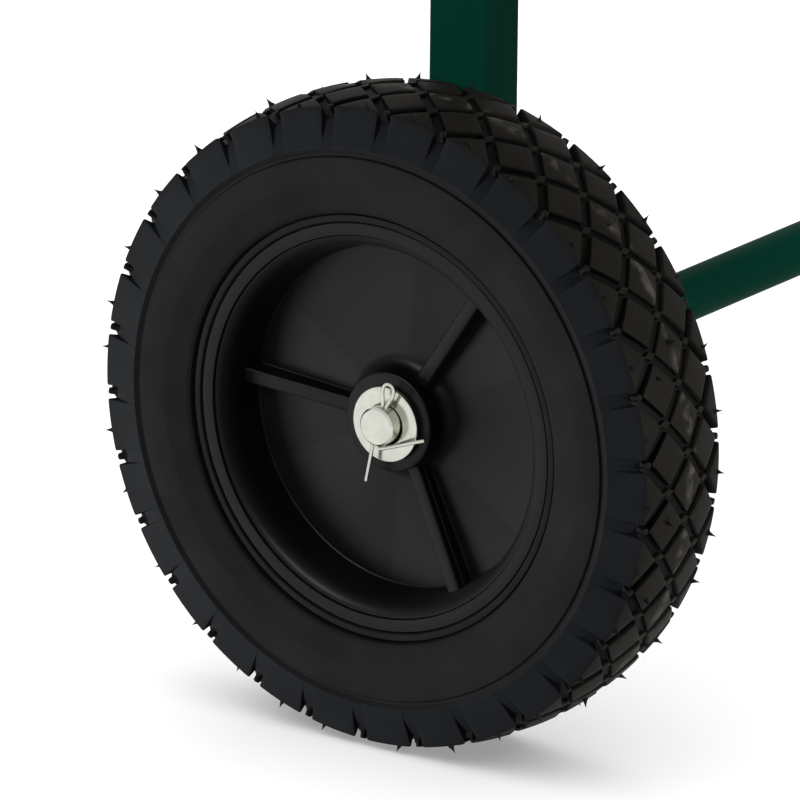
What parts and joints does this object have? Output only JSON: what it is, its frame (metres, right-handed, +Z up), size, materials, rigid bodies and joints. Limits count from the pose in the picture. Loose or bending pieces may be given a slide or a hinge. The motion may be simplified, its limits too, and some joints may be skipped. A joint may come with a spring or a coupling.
{
  "type": "outboard motor trolley",
  "caption": "Two-wheeled trolley with a transom board between upright tubes, rear grips and a folding front stand, for carrying and storing an outboard motor.",
  "frame": {"origin": "on the floor, in the middle of the trolley's box in plan", "axes": "+X along the axle to the trolley's right, -Y to the front where the motor hangs, +Z up"},
  "size_m": [0.4732, 0.5124, 1.0145],
  "materials": {
    "tyre": "matt moulded rubber",
    "hub_plastic": "satin moulded",
    "zinc_steel": "bright zinc plate",
    "green_paint": "gloss paint",
    "plug_plastic": "matt moulded",
    "grip_rubber": "matt rubber",
    "foot_rubber": "matt rubber",
    "board_wood": "sealed plywood"
  },
  "bodies": {
    "frame": {"axle": "zinc_steel", "left_outer_washer": "zinc_steel", "right_outer_washer": "zinc_steel", "left_inner_washer": "zinc_steel", "right_inner_washer": "zinc_steel", "left_split_pin": "zinc_steel", "right_split_pin": "zinc_steel", "board_bolts": "zinc_steel", "board_washers": "zinc_steel", "board_nuts": "zinc_steel", "handle_bolts": "zinc_steel", "handle_nuts": "zinc_steel", "pivot_bolts": "zinc_steel", "pivot_nuts": "zinc_steel", "pivot_spacers": "zinc_steel", "left_upright": "green_paint", "right_upright": "green_paint", "axle_tube": "green_paint", "upper_cross_tube": "green_paint", "left_handle": "green_paint", "right_handle": "green_paint", "left_stay_hook": "green_paint", "right_stay_hook": "green_paint", "left_upright_plug": "plug_plastic", "right_upright_plug": "plug_plastic", "left_grip": "grip_rubber", "right_grip": "grip_rubber", "transom_board": "board_wood"},
    "left_wheel": {"left_tyre": "tyre", "left_wheel_hub": "hub_plastic"},
    "right_wheel": {"right_tyre": "tyre", "right_wheel_hub": "hub_plastic"},
    "stand": {"left_leg": "green_paint", "right_leg": "green_paint", "stand_cross_tube": "green_paint", "left_foot": "foot_rubber", "right_foot": "foot_rubber", "left_leg_plug": "plug_plastic", "right_leg_plug": "plug_plastic", "stay_bolts": "zinc_steel", "stay_nuts": "zinc_steel"},
    "left_stay_bar": {"left_stay": "zinc_steel", "left_stay_stud": "zinc_steel"},
    "right_stay_bar": {"right_stay": "zinc_steel", "right_stay_stud": "zinc_steel"}
  },
  "joints": [
    {"name": "left_wheel_spin", "type": "hinge", "parent": "frame", "child": "left_wheel", "pos_m": [-0.2144, 0.10767, 0.1016], "axis": [1, 0, 0], "continuous": true},
    {"name": "right_wheel_spin", "type": "hinge", "parent": "frame", "child": "right_wheel", "pos_m": [0.2144, 0.10767, 0.1016], "axis": [1, 0, 0], "continuous": true},
    {"name": "stand_fold", "type": "hinge", "parent": "frame", "child": "stand", "pos_m": [0, 0.10967, 0.56], "axis": [1, 0, 0], "range_deg": [0, 29]},
    {"name": "left_stay_lift", "type": "hinge", "parent": "stand", "child": "left_stay_bar", "pos_m": [-0.18, -0.0599, 0.28863], "axis": [1, 0, 0], "range_deg": [0, 66]},
    {"name": "right_stay_lift", "type": "hinge", "parent": "stand", "child": "right_stay_bar", "pos_m": [0.18, -0.0599, 0.28863], "axis": [1, 0, 0], "range_deg": [0, 66]}
  ]
}
